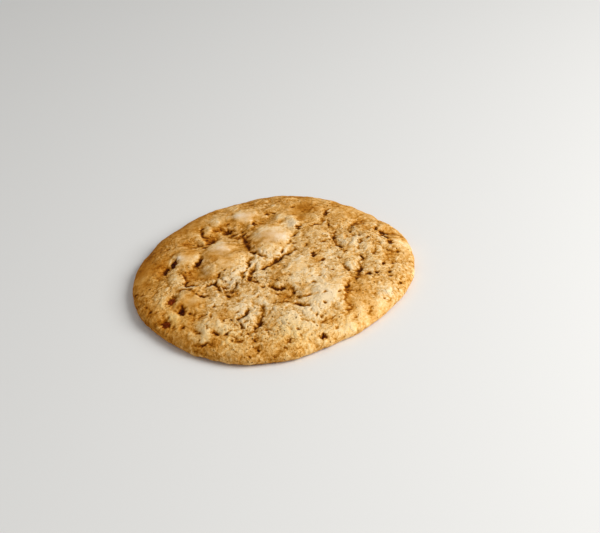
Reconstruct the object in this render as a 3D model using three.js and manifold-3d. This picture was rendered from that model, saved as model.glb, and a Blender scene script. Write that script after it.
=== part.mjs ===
// An oatmeal raisin cookie that lies on its flat underside.
// Millimetres, +Z up. The origin is the middle of the underside.
//
// The crust is one solid: a low dome with a wavy outline, soft lumps and the
// broad valleys of its cracks. Each raisin that shows is a solid of its own,
// which sits in a pocket of the crust with a small gap all round.

import * as THREE from 'three';
import { mergeVertices } from 'three/addons/utils/BufferGeometryUtils.js';
import Module from 'manifold-3d';

const wasm = await Module();
wasm.setup();

// The outline: a circle with a few low waves round it.
const meanRadius = 57;
const outlineWaves = [
  { count: 3, height: 0.65, turnDegrees: 9.6 },
  { count: 4, height: 1.1, turnDegrees: 32.6 },
  { count: 6, height: 0.25, turnDegrees: -81.7 },
];

// The section: a flat foot, a rounded lower edge, the widest line, the dome.
const widestHeight = 2.6;
const domeHeight = 9.3;
const domePower = 4;
const footInset = 3;

// Domes with a clear foot, where a raisin or a knot of dough lies under the crust.
const domes = [
  { x: 1.5, y: 13.5, halfWidth: 10, halfDepth: 12.5, rise: 2.1 },
  { x: -18.5, y: 4.2, halfWidth: 10, halfDepth: 15.2, rise: 1.6 },
  { x: -34.5, y: 10.5, halfWidth: 6.5, halfDepth: 6.5, rise: 1.3 },
  { x: -33, y: -20.5, halfWidth: 7.5, halfDepth: 8, rise: 1 },
  { x: -38.5, y: -4.5, halfWidth: 3.6, halfDepth: 5.5, rise: 0.9 },
  { x: -8, y: 37.5, halfWidth: 6, halfDepth: 7, rise: 0.9 },
  { x: -11, y: -39.5, halfWidth: 3.6, halfDepth: 6, rise: 0.7 },
];

// Broad lumps of the dough, and hollows between them.
const lumps = [
  { x: -21, y: 13, radius: 8, rise: 0.5 },
  { x: -26, y: -38, radius: 7, rise: 0.8 },
  { x: 13, y: -11, radius: 12, rise: 0.9 },
  { x: 20, y: -28, radius: 9, rise: 1.3 },
  { x: 6, y: -45, radius: 9, rise: 0.6 },
  { x: 34, y: 4, radius: 5, rise: 0.6 },
  { x: 43, y: 8, radius: 6, rise: 0.7 },
  { x: 20, y: 12, radius: 7, rise: 0.7 },
  { x: 20, y: 26, radius: 7, rise: 0.6 },
  { x: 31, y: 22, radius: 6, rise: 0.6 },
  { x: 42, y: -10, radius: 6, rise: 0.6 },
  { x: 0, y: 32, radius: 6, rise: -1.4 },
  { x: -16, y: 27, radius: 6, rise: -1.4 },
  { x: -23, y: 24.5, radius: 5, rise: -1.2 },
  { x: -31, y: 21.5, radius: 5, rise: -1.3 },
  { x: 17, y: 37, radius: 8, rise: -0.9 },
  { x: -31, y: -1, radius: 5, rise: -1.1 },
  { x: -30, y: -8, radius: 5, rise: -0.8 },
  { x: 5, y: -25, radius: 6, rise: -1 },
  { x: 31, y: -26, radius: 5, rise: -0.8 },
];

// Cracks: the line each one follows over the top, its width and its depth.
const cracks = [
  { width: 3, depth: 1.3, line: [[-15, 22], [-9, 20], [-9, 14], [-6, 6], [0, 1]] },
  { width: 2.4, depth: 0.9, line: [[-7, 3], [-9, -4], [-12, -12], [-19, -18]] },
  { width: 3, depth: 1.2, line: [[-5, -7], [1, -4], [7, 1]] },
  { width: 2.6, depth: 1, line: [[27, 14], [26, 8], [28, 3], [31, -3]] },
  { width: 2.6, depth: 0.9, line: [[-36, -12], [-29, -18], [-22, -20]] },
  { width: 3, depth: 1, line: [[0, -22], [5, -25], [6, -30], [13, -28]] },
  { width: 2.4, depth: 1, line: [[-16, -40], [-12, -34], [-6, -33], [-6, -43]] },
  { width: 2.6, depth: 0.9, line: [[29, -22], [27, -31], [18, -43]] },
  { width: 2.6, depth: 0.8, line: [[34, -20], [35, -14], [37, -8]] },
  { width: 2.4, depth: 0.7, line: [[40, 22], [35, 18], [34, 12]] },
  { width: 2.6, depth: 0.8, line: [[-27, 30], [-24, 22], [-29, 16]] },
];

// Fine unevenness of the crust, which fades out towards the edge.
const rippleHeight = 0.16;
const rippleLength = 6.5;

// Raisins: where each one breaks through the crust, the way its long axis
// points, its length, width and thickness, and how far it stands proud.
const raisins = [
  { x: -39.6, y: 8.4, turnDegrees: 80, size: [9.4, 5.2, 4], proud: 0.2 },
  { x: -37, y: -25.4, turnDegrees: 20, size: [8.4, 5.6, 4], proud: 0.2 },
  { x: -44.2, y: -29.4, turnDegrees: -35, size: [9, 6.8, 3.6], proud: 0.35 },
  { x: -41, y: -17.6, turnDegrees: 75, size: [6.4, 4.6, 3.4], proud: 0.25 },
  { x: -29.3, y: 5, turnDegrees: 60, size: [8.6, 4.6, 4], proud: 0.15 },
  { x: 16.1, y: -51.5, turnDegrees: 25, size: [6.4, 4.4, 3], proud: 0.2 },
];
const raisinFolds = 5;
const foldDepth = 0.07;
const pocketGap = 0.35;

// How finely the solids are faceted.
const crustRings = 30;
const edgeRings = 3;
const raisinSides = 14;
const raisinBands = 9;

// Radius of the outline in the direction angle.
function outlineRadius(angle) {
  let radius = meanRadius;
  for (const wave of outlineWaves) {
    radius += wave.height * Math.cos(wave.count * angle + THREE.MathUtils.degToRad(wave.turnDegrees));
  }
  return radius;
}

// A bell that is 1 at distance 0 and close to 0 beyond the given reach.
function bell(distance, reach) {
  return Math.exp(-2 * (distance / reach) ** 2);
}

// Distance from (x, y) to the nearest place on a line of straight stretches.
function distanceToLine(x, y, line) {
  let nearest = Infinity;
  for (let i = 1; i < line.length; i += 1) {
    const [ax, ay] = line[i - 1];
    const [bx, by] = line[i];
    const lengthSquared = (bx - ax) ** 2 + (by - ay) ** 2;
    const along = ((x - ax) * (bx - ax) + (y - ay) * (by - ay)) / lengthSquared;
    const part = THREE.MathUtils.clamp(along, 0, 1);
    nearest = Math.min(nearest, Math.hypot(x - ax - part * (bx - ax), y - ay - part * (by - ay)));
  }
  return nearest;
}

// Domes, lumps, cracks and ripple at (x, y), in millimetres above the plain crust.
function relief(x, y) {
  let height = 0;
  for (const dome of domes) {
    const distance = Math.hypot((x - dome.x) / dome.halfWidth, (y - dome.y) / dome.halfDepth);
    height += dome.rise * Math.max(1 - distance ** 2, 0);
  }
  for (const lump of lumps) {
    height += lump.rise * bell(Math.hypot(x - lump.x, y - lump.y), lump.radius);
  }
  for (const crack of cracks) {
    height -= crack.depth * bell(distanceToLine(x, y, crack.line), crack.width);
  }
  const turnX = (2 * Math.PI * x) / rippleLength;
  const turnY = (2 * Math.PI * y) / rippleLength;
  height += rippleHeight * Math.sin(turnX + Math.sin(turnY)) * Math.cos(turnY - Math.sin(turnX));
  return height;
}

// Height of the crust above its foot at (x, y).
function crustHeight(x, y) {
  const share = Math.min(Math.hypot(x, y) / outlineRadius(Math.atan2(y, x)), 1);
  const dome = widestHeight + (domeHeight - widestHeight) * Math.sqrt(1 - share ** domePower);
  return dome + relief(x, y) * (1 - share ** (4 * domePower));
}

// The direction that the crust faces at (x, y).
function crustNormal(x, y) {
  const step = 1;
  const slopeX = (crustHeight(x + step, y) - crustHeight(x - step, y)) / (2 * step);
  const slopeY = (crustHeight(x, y + step) - crustHeight(x, y - step)) / (2 * step);
  return new THREE.Vector3(-slopeX, -slopeY, 1).normalize();
}

// Triangles between ring number k, of 6k points, and the ring inside it.
// The first ring starts at vertex 1, and vertex 0 is the middle.
function ringTriangles(k) {
  const outerStart = 1 + 3 * k * (k - 1);
  const innerStart = k === 1 ? 0 : 1 + 3 * (k - 1) * (k - 2);
  const innerCount = Math.max(6 * (k - 1), 1);
  const triangles = [];
  for (let sector = 0; sector < 6; sector += 1) {
    for (let i = 0; i < k; i += 1) {
      const outer = outerStart + ((sector * k + i) % (6 * k));
      const nextOuter = outerStart + ((sector * k + i + 1) % (6 * k));
      const inner = innerStart + ((sector * (k - 1) + i) % innerCount);
      const nextInner = innerStart + ((sector * (k - 1) + i + 1) % innerCount);
      triangles.push(outer, nextOuter, inner);
      if (i < k - 1) {
        triangles.push(inner, nextOuter, nextInner);
      }
    }
  }
  return triangles;
}

// Points of the dome, ring by ring. The rings close up towards the edge.
function domePoints() {
  const closingUp = 0.1;
  const points = [[0, 0, crustHeight(0, 0)]];
  for (let k = 1; k <= crustRings; k += 1) {
    const share = k / crustRings + closingUp * Math.sin((Math.PI * k) / crustRings);
    for (let i = 0; i < 6 * k; i += 1) {
      const angle = (2 * Math.PI * i) / (6 * k);
      const x = share * outlineRadius(angle) * Math.cos(angle);
      const y = share * outlineRadius(angle) * Math.sin(angle);
      points.push([x, y, crustHeight(x, y)]);
    }
  }
  return points;
}

// Points of the rounded lower edge, from below the widest line to the foot.
function lowerEdgePoints() {
  const points = [];
  for (let ring = 1; ring <= edgeRings; ring += 1) {
    const bend = (Math.PI / 2) * (ring / edgeRings);
    const z = ring === edgeRings ? 0 : widestHeight * (1 - Math.sin(bend));
    for (let i = 0; i < 6 * crustRings; i += 1) {
      const angle = (2 * Math.PI * i) / (6 * crustRings);
      const radius = outlineRadius(angle) - footInset * (1 - Math.cos(bend));
      points.push([radius * Math.cos(angle), radius * Math.sin(angle), z]);
    }
  }
  return points;
}

// Triangles of the lower edge, between rings of the same number of points.
function lowerEdgeTriangles(firstRingStart) {
  const count = 6 * crustRings;
  const triangles = [];
  for (let ring = 0; ring < edgeRings; ring += 1) {
    const upper = firstRingStart + ring * count;
    const lower = upper + count;
    for (let i = 0; i < count; i += 1) {
      const next = (i + 1) % count;
      triangles.push(upper + i, lower + i, lower + next);
      triangles.push(upper + i, lower + next, upper + next);
    }
  }
  return triangles;
}

// Triangles of the flat foot, which faces down.
function footTriangles(points, start) {
  const corners = points.slice(start).map(([x, y]) => new THREE.Vector2(x, y));
  const triangles = [];
  for (const [a, b, c] of THREE.ShapeUtils.triangulateShape(corners, [])) {
    triangles.push(start + a, start + c, start + b);
  }
  return triangles;
}

function crustGeometry() {
  const points = [...domePoints(), ...lowerEdgePoints()];
  const lastDomeRing = 1 + 3 * crustRings * (crustRings - 1);
  const triangles = [];
  for (let k = 1; k <= crustRings; k += 1) {
    triangles.push(...ringTriangles(k));
  }
  triangles.push(...lowerEdgeTriangles(lastDomeRing));
  triangles.push(...footTriangles(points, points.length - 6 * crustRings));
  const geometry = new THREE.BufferGeometry();
  geometry.setAttribute('position', new THREE.Float32BufferAttribute(points.flat(), 3));
  geometry.setIndex(triangles);
  return geometry;
}

// A raisin of the given size: a ball with soft folds along it.
function raisinGeometry(size) {
  const geometry = new THREE.SphereGeometry(0.5, raisinSides, raisinBands);
  geometry.rotateZ(Math.PI / 2);
  const place = geometry.getAttribute('position');
  for (let i = 0; i < place.count; i += 1) {
    const around = Math.atan2(place.getZ(i), place.getY(i));
    const fold = 1 - foldDepth * (1 - Math.cos(raisinFolds * around)) / 2;
    place.setXYZ(i, place.getX(i), place.getY(i) * fold, place.getZ(i) * fold);
  }
  geometry.scale(size[0], size[1], size[2]);
  return geometry;
}

// Where a raisin lies: flat along the crust, its top a little proud of it.
function raisinPlace(raisin) {
  const up = crustNormal(raisin.x, raisin.y);
  const turn = THREE.MathUtils.degToRad(raisin.turnDegrees);
  const along = new THREE.Vector3(Math.cos(turn), Math.sin(turn), 0);
  along.addScaledVector(up, -along.dot(up)).normalize();
  const across = new THREE.Vector3().crossVectors(up, along);
  const depth = raisin.size[2] / 2 - raisin.proud;
  const top = new THREE.Vector3(raisin.x, raisin.y, crustHeight(raisin.x, raisin.y));
  return new THREE.Matrix4().makeBasis(along, across, up).setPosition(top.addScaledVector(up, -depth));
}

// A closed solid from a geometry, with its shared vertices merged.
function solidFrom(geometry) {
  const bare = new THREE.BufferGeometry();
  bare.setAttribute('position', geometry.getAttribute('position').clone());
  bare.setIndex(geometry.index);
  const merged = mergeVertices(bare, 1e-5);
  const triangles = [];
  for (let i = 0; i < merged.index.count; i += 3) {
    const corners = [0, 1, 2].map((j) => merged.index.getX(i + j));
    if (new Set(corners).size === 3) {
      triangles.push(...corners);
    }
  }
  const mesh = new wasm.Mesh({
    numProp: 3,
    vertProperties: new Float32Array(merged.getAttribute('position').array),
    triVerts: new Uint32Array(triangles),
  });
  return new wasm.Manifold(mesh);
}

function geometryFrom(solid) {
  const mesh = solid.getMesh();
  const geometry = new THREE.BufferGeometry();
  geometry.setAttribute('position', new THREE.Float32BufferAttribute(mesh.vertProperties, 3));
  geometry.setIndex([...mesh.triVerts]);
  geometry.computeVertexNormals();
  return geometry;
}

// The crust with a pocket for every raisin.
function pocketedCrust() {
  let crust = solidFrom(crustGeometry());
  for (const raisin of raisins) {
    const roomy = raisin.size.map((side) => side + 2 * pocketGap);
    const pocket = raisinGeometry(roomy).applyMatrix4(raisinPlace(raisin));
    crust = crust.subtract(solidFrom(pocket));
  }
  return geometryFrom(crust);
}

function makeCrust() {
  const baked = new THREE.MeshStandardMaterial({ color: 0xcd9e62, roughness: 0.9, metalness: 0 });
  const crust = new THREE.Mesh(pocketedCrust(), baked);
  crust.name = 'cookie';
  return crust;
}

function makeRaisin(raisin, index) {
  const dried = new THREE.MeshStandardMaterial({ color: 0x3a1710, roughness: 0.5, metalness: 0 });
  const fruit = new THREE.Mesh(geometryFrom(solidFrom(raisinGeometry(raisin.size))), dried);
  fruit.name = `raisin_${index + 1}`;
  fruit.applyMatrix4(raisinPlace(raisin));
  return fruit;
}

const group = new THREE.Group();
group.add(makeCrust());
group.add(...raisins.map(makeRaisin));

export default group;
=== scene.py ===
import math

import bpy
import numpy as np
from mathutils import Matrix, Vector


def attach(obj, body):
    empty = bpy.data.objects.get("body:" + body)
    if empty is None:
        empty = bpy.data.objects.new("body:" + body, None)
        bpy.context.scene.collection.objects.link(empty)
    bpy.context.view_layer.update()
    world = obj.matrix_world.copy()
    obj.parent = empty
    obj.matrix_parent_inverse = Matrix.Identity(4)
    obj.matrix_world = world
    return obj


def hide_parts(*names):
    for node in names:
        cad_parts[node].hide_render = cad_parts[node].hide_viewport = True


# An oatmeal raisin cookie on a pale floor. Shapes are worked out in millimetres and put into the meshes in
# metres, in the frame of the loaded model.

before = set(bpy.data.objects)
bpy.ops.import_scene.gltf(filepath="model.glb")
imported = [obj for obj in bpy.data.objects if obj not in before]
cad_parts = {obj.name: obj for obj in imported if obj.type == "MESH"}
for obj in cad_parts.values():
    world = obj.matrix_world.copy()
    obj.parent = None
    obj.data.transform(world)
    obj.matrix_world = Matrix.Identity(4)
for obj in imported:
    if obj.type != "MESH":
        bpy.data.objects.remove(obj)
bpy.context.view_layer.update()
print("frame loaded")

metresPerMm = 0.001
middleLevel = 0.5  # of noise, and of values that run from 0 to 1
seedStep = 10  # between seeds, so that no two noises share their numbers


# A number from 0 to 1 for each whole-number cell: its coordinates and the seed times large odd numbers, mixed
# bit by bit.
def cellNumber(cells, seed):
    spread = np.array([0x8DA6B343, 0xD8163841, 0xCB1AB31F], dtype=np.uint32)
    seedSpread, seedStart = 7919, 17
    mixed = (cells.astype(np.int64).astype(np.uint32) * spread).sum(axis=-1, dtype=np.uint32)
    mixed = mixed + np.uint32(seed * seedSpread + seedStart)
    for shift, factor in ((16, 0x7FEB352D), (15, 0x846CA68B)):
        mixed = (mixed ^ (mixed >> np.uint32(shift))) * np.uint32(factor)
    mixed = mixed ^ (mixed >> np.uint32(16))
    return mixed.astype(float) / 2.0**32


# Three such numbers for each cell.
def cellTriple(cells, seed):
    return np.stack([cellNumber(cells, seed + axis) for axis in range(3)], axis=-1)


# Gradient noise: each corner's gradient . offset, blended with 6t^5 - 15t^4 + 10t^3, and spread over about
# -1 to 1.
def softNoise(points, size, seed):
    place = points / size
    cells = np.floor(place)
    inside = place - cells
    fade = inside**3 * (inside * (6 * inside - 15) + 10)
    total = np.zeros(len(points))
    for step in np.ndindex(2, 2, 2):
        corner = np.array(step)
        gradient = 2 * cellTriple(cells + corner, seed) - 1
        weight = np.where(corner == 1, fade, 1 - fade).prod(axis=1)
        total += weight * (gradient * (inside - corner)).sum(axis=1)
    spread = 1.7
    return spread * total


# One seed point in each cell: the distance to the nearest and to the second one, and the nearest one's
# number.
def cellNoise(points, size, seed):
    place = points / size
    cells = np.floor(place)
    nearest = np.full(len(points), math.inf)
    second = np.full(len(points), math.inf)
    number = np.zeros(len(points))
    numberSeed = seed + 5
    for step in np.ndindex(3, 3, 3):
        neighbour = cells + np.array(step) - 1
        distance = np.linalg.norm(place - neighbour - cellTriple(neighbour, seed), axis=1)
        closer = distance < nearest
        second = np.where(closer, nearest, np.minimum(second, distance))
        number = np.where(closer, cellNumber(neighbour, numberSeed), number)
        nearest = np.where(closer, distance, nearest)
    return nearest, second, number


# A bell: exp(-2 (distance / reach)^2).
def bell(distance, reach):
    return np.exp(-2 * (distance / reach) ** 2)


# 0 below low, 1 above high, t^2 (3 - 2t) between.
def smoothStep(low, high, value):
    t = np.clip((value - low) / (high - low), 0, 1)
    return t * t * (3 - 2 * t)


cameraPlace = {
    "elevation": 33.8,  # degrees above the plane of the cookie
    "roll": -8.2,  # degrees
    "distance": 531.4,  # mm, from the lens to the middle of the cookie
    "middleHeight": 4.0,  # mm
    "middlePixel": (271.2, 270.0),  # where that middle comes in the frame
    "frame": (600, 533),  # pixels
    "focalPixels": 1300.0,
    "sensor": 36.0,  # mm
}


# The lens lies at the given distance along the line of sight through the middle. The camera is turned off
# that line by the angle between the frame's middle and the pixel where the cookie's middle comes.
def makeCamera():
    place = cameraPlace
    lean = math.radians(place["elevation"])
    back = Vector((0, -math.cos(lean), math.sin(lean)))
    level = Vector((1, 0, 0))
    upright = back.cross(level)
    roll = math.radians(place["roll"])
    right = math.cos(roll) * level + math.sin(roll) * upright
    up = -math.sin(roll) * level + math.cos(roll) * upright
    axes = Matrix((right, up, back)).transposed()
    width, height = place["frame"]
    across = (place["middlePixel"][0] - width / 2) / place["focalPixels"]
    down = (place["middlePixel"][1] - height / 2) / place["focalPixels"]
    offAxis = Vector((0, 0, -1)).rotation_difference(Vector((across, -down, -1))).to_matrix()
    data = bpy.data.cameras.new("camera")
    data.sensor_width = place["sensor"]
    data.lens = place["sensor"] * place["focalPixels"] / width
    camera = bpy.data.objects.new("camera", data)
    camera.matrix_world = (axes @ offAxis.transposed()).to_4x4()
    middle = Vector((0, 0, place["middleHeight"]))
    camera.location = (middle + back * place["distance"]) * metresPerMm
    bpy.context.scene.collection.objects.link(camera)
    bpy.context.scene.camera = camera


makeCamera()
print("camera placed")


crustShape = {
    "meanRadius": 57.0,
    "waves": ((3, 0.65, 9.6), (4, 1.1, 32.6), (6, 0.25, -81.7)),  # how many round, height, turn in degrees
    "widestHeight": 2.6,
    "domeHeight": 9.3,
    "footInset": 3.0,
    "rings": 158,  # even; ring k has 6k points, about 0.42 mm apart
    "markLean": 1.4,  # mm that marks lie further forward for each mm that their place is raised
    "depthLean": 1.0,  # mm that a crack or pit lies further back for each mm of its depth
    "ragged": 0.55,  # mm that cracks, pits and openings stray from their lines
    "raggedSizes": (2.8, 1.2),  # mm, of the coarse and the fine bends in them
    "raggedLumps": 0.5,  # share of the coarse bends that lumps get
    "topSlope": (-0.1, 0.35),  # upward share of the outward direction: where marks begin, where they are full
    "footSlope": (0, 0.6),  # downward share: the same for the hollows under it
    "footBrownSlope": (0.2, 0.9),  # and for its browning
    "upperSlope": 0.2,  # upward share over which the surface above a raisin is measured
    "lumpFade": 16,  # power of the share of the outline's radius by which lumps fade out
    "crackDepth": 0.65,  # share of its listed depth
    "crackEnds": 0.55,  # share of its depth that a crack keeps at its ends
    "crackWidth": 0.6,  # half width, as a share of the listed width
    "crackNarrowing": 0.3,  # share of its width that goes as its depth does towards the ends
    "crackShade": {"strength": 0.7, "reach": (0.3, 0.8)},  # painted shade in and round a crack: for each mm of depth; mm + share of the width
    "broken": {"size": 2.6, "middle": 0.85, "spread": 1.1, "range": (0.15, 1.3)},  # mm; shares of its depth
    "brokenShade": (0.3, 1),  # range of the same for its painted shade
    "valleyDepth": 0.35,  # share of the crack's listed depth
    "valleyReach": (1.6, 1.5),  # mm + share of the crack's width
    "pitDepth": 0.8,  # share of its listed depth
    "pitPower": 2.5,  # higher is flatter at the bottom and steeper at the side
    "pitShade": (0.3, 1.2),  # mm + share of its radius that its painted shade reaches
    "stepEnds": 0.12,  # share of its length over which a step rises from each end
    "stepWidth": 0.8,  # mm, of the slope at a step
    "lumpWidth": 0.75,  # share of its listed radius
    "lumpPower": 3,  # higher is flatter on top and steeper at the side
    "swells": ((14, 0.45), (7, 0.42), (3.6, 0.26), (1.9, 0.13), (1.0, 0.11)),  # mm: size and height
    "smoothSwells": 0.07,  # share of a swell's height that smooth skin keeps, for each mm of its size
    "bends": ((4.5, 1.1), (1.4, 0.35)),  # mm: size and strength of what bends the crumb out of line
    "flakes": {"size": 3.3, "height": 0.26, "gap": 0.45, "gapWidth": 0.25},  # mm; shares of height and size
    "flakePatches": {"size": 8, "from": -0.25, "to": 0.35},  # mm; noise where flakes begin and are full
    "grains": {"size": 1.6, "height": 0.2, "least": 0.4, "coarse": 1.2},  # mm; shares of the height
    "rimCrumb": 0.8,  # share of the crumb's height that is left on the rim
    "footCrumb": 0.5,  # and on the underside, which only has hollows
    "crumbly": {
        "least": 0.1,
        "rim": (0.78, 0.97),  # shares of the outline's radius between which it gets less
        "rimLoss": 0.1,
        "backLoss": 0.45,  # on top of that, at the back
        "backTurn": 130,  # degrees
        "coarse": 0.6,  # how much crumblier coarse places look
    },
    # browning, with painted shade from the brown places
    "browningAndShade": {
        "plain": 0.1,
        "most": 1.5,
        "edge": 0.6,
        "edgeFrom": 0.6,  # share of the outline's radius
        "edgeMean": 0.6,  # average all round, as a share of the left side's
        "leftTurn": 170,  # degrees
        "foot": 0.75,
        "blotches": {"strength": 0.2, "sizes": (13, 5), "finer": 0.6},  # mm; finer is the small ones' share
    },
    "hollows": ((6, 0.9), (40, 0.35)),  # painted shade in hollows: how many points round about, and strength for each mm of height
    "seeds": {
        "bends": (11, 21, 31),
        "swells": 41,
        "flakes": 81,
        "patches": 91,
        "grains": 101,
        "blotches": (91, 101),
        "ragged": {"across": (111, 121), "along": (131, 141)},
        "broken": 151,
    },
    "map": {
        "top": {"middle": (0.41, 0.59), "radius": 0.4},
        "underside": {"middle": (0.82, 0.18), "radius": 0.17},
    },
}

# Domes with a clear foot, where a raisin or a knot of dough lies under the skin: x, y, half width, half
# depth, rise.
crustDomes = (
    (1.5, 13.5, 10, 12.5, 2.1),
    (-18.5, 4.2, 10, 15.2, 1.6),
    (-34.5, 10.5, 6.5, 6.5, 1.3),
    (-33, -20.5, 7.5, 8, 1.0),
    (-38.5, -4.5, 3.6, 5.5, 0.9),
    (-8, 37.5, 6, 7, 0.9),
    (-11, -39.5, 3.6, 6, 0.7),
)

# Broad lumps and hollows: x, y, radius, rise.
crustLumps = (
    (-20, 37, 5, 0.5), (-21, 13, 8, 0.5), (-16, -9, 5, 0.5), (-22, -24, 5, 0.5), (-13, -30, 5, 0.7),
    (-26, -38, 7, 0.8), (-29, -42, 5, 0.7), (13, -38, 5, 0.5), (-21, -42, 4, 0.5), (13, -11, 12, 0.9),
    (25, -14, 6, 0.5), (20, -28, 9, 1.3), (6, -45, 9, 0.6), (33, -11, 4, 0.5), (34, 4, 5, 0.6),
    (43, 8, 6, 0.7), (20, 12, 7, 0.7), (20, 26, 7, 0.6), (13, 24.5, 3.5, 0.6), (11.5, 28.5, 4, 0.8),
    (7, 31.5, 3.5, 0.5), (31, 22, 6, 0.6), (42, -10, 6, 0.6), (0, 32, 6, -1.4), (-16, 27, 6, -1.4),
    (-9, 28, 4, -0.6), (-8, -6, 2.5, -1.0), (6.5, 1.5, 3, -0.6), (2, -2, 3, -0.5), (-23, 24.5, 5, -1.6),
    (-31, 21.5, 5, -1.3), (-20, 29, 4, -0.5), (17, 37, 8, -0.9), (-31, -1, 5, -1.1), (-30, -8, 5, -0.8),
    (-42, 6, 4, -0.8), (-12, 10, 4, -0.5), (-43, 0, 4, -0.4), (46, -9, 4, -0.6), (34, -30, 4, -0.6),
    (-8, -12, 4, -0.8), (5, -25, 6, -1.0), (31, -26, 5, -0.8), (28, -37, 4, -0.5), (42, 22, 5, -0.6),
    (49, -4, 5, -0.7), (48, 11, 5, -0.5), (30, 9, 3, 0.4), (38, 15, 4, 0.4), (40, 1, 4, 0.4),
)

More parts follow.
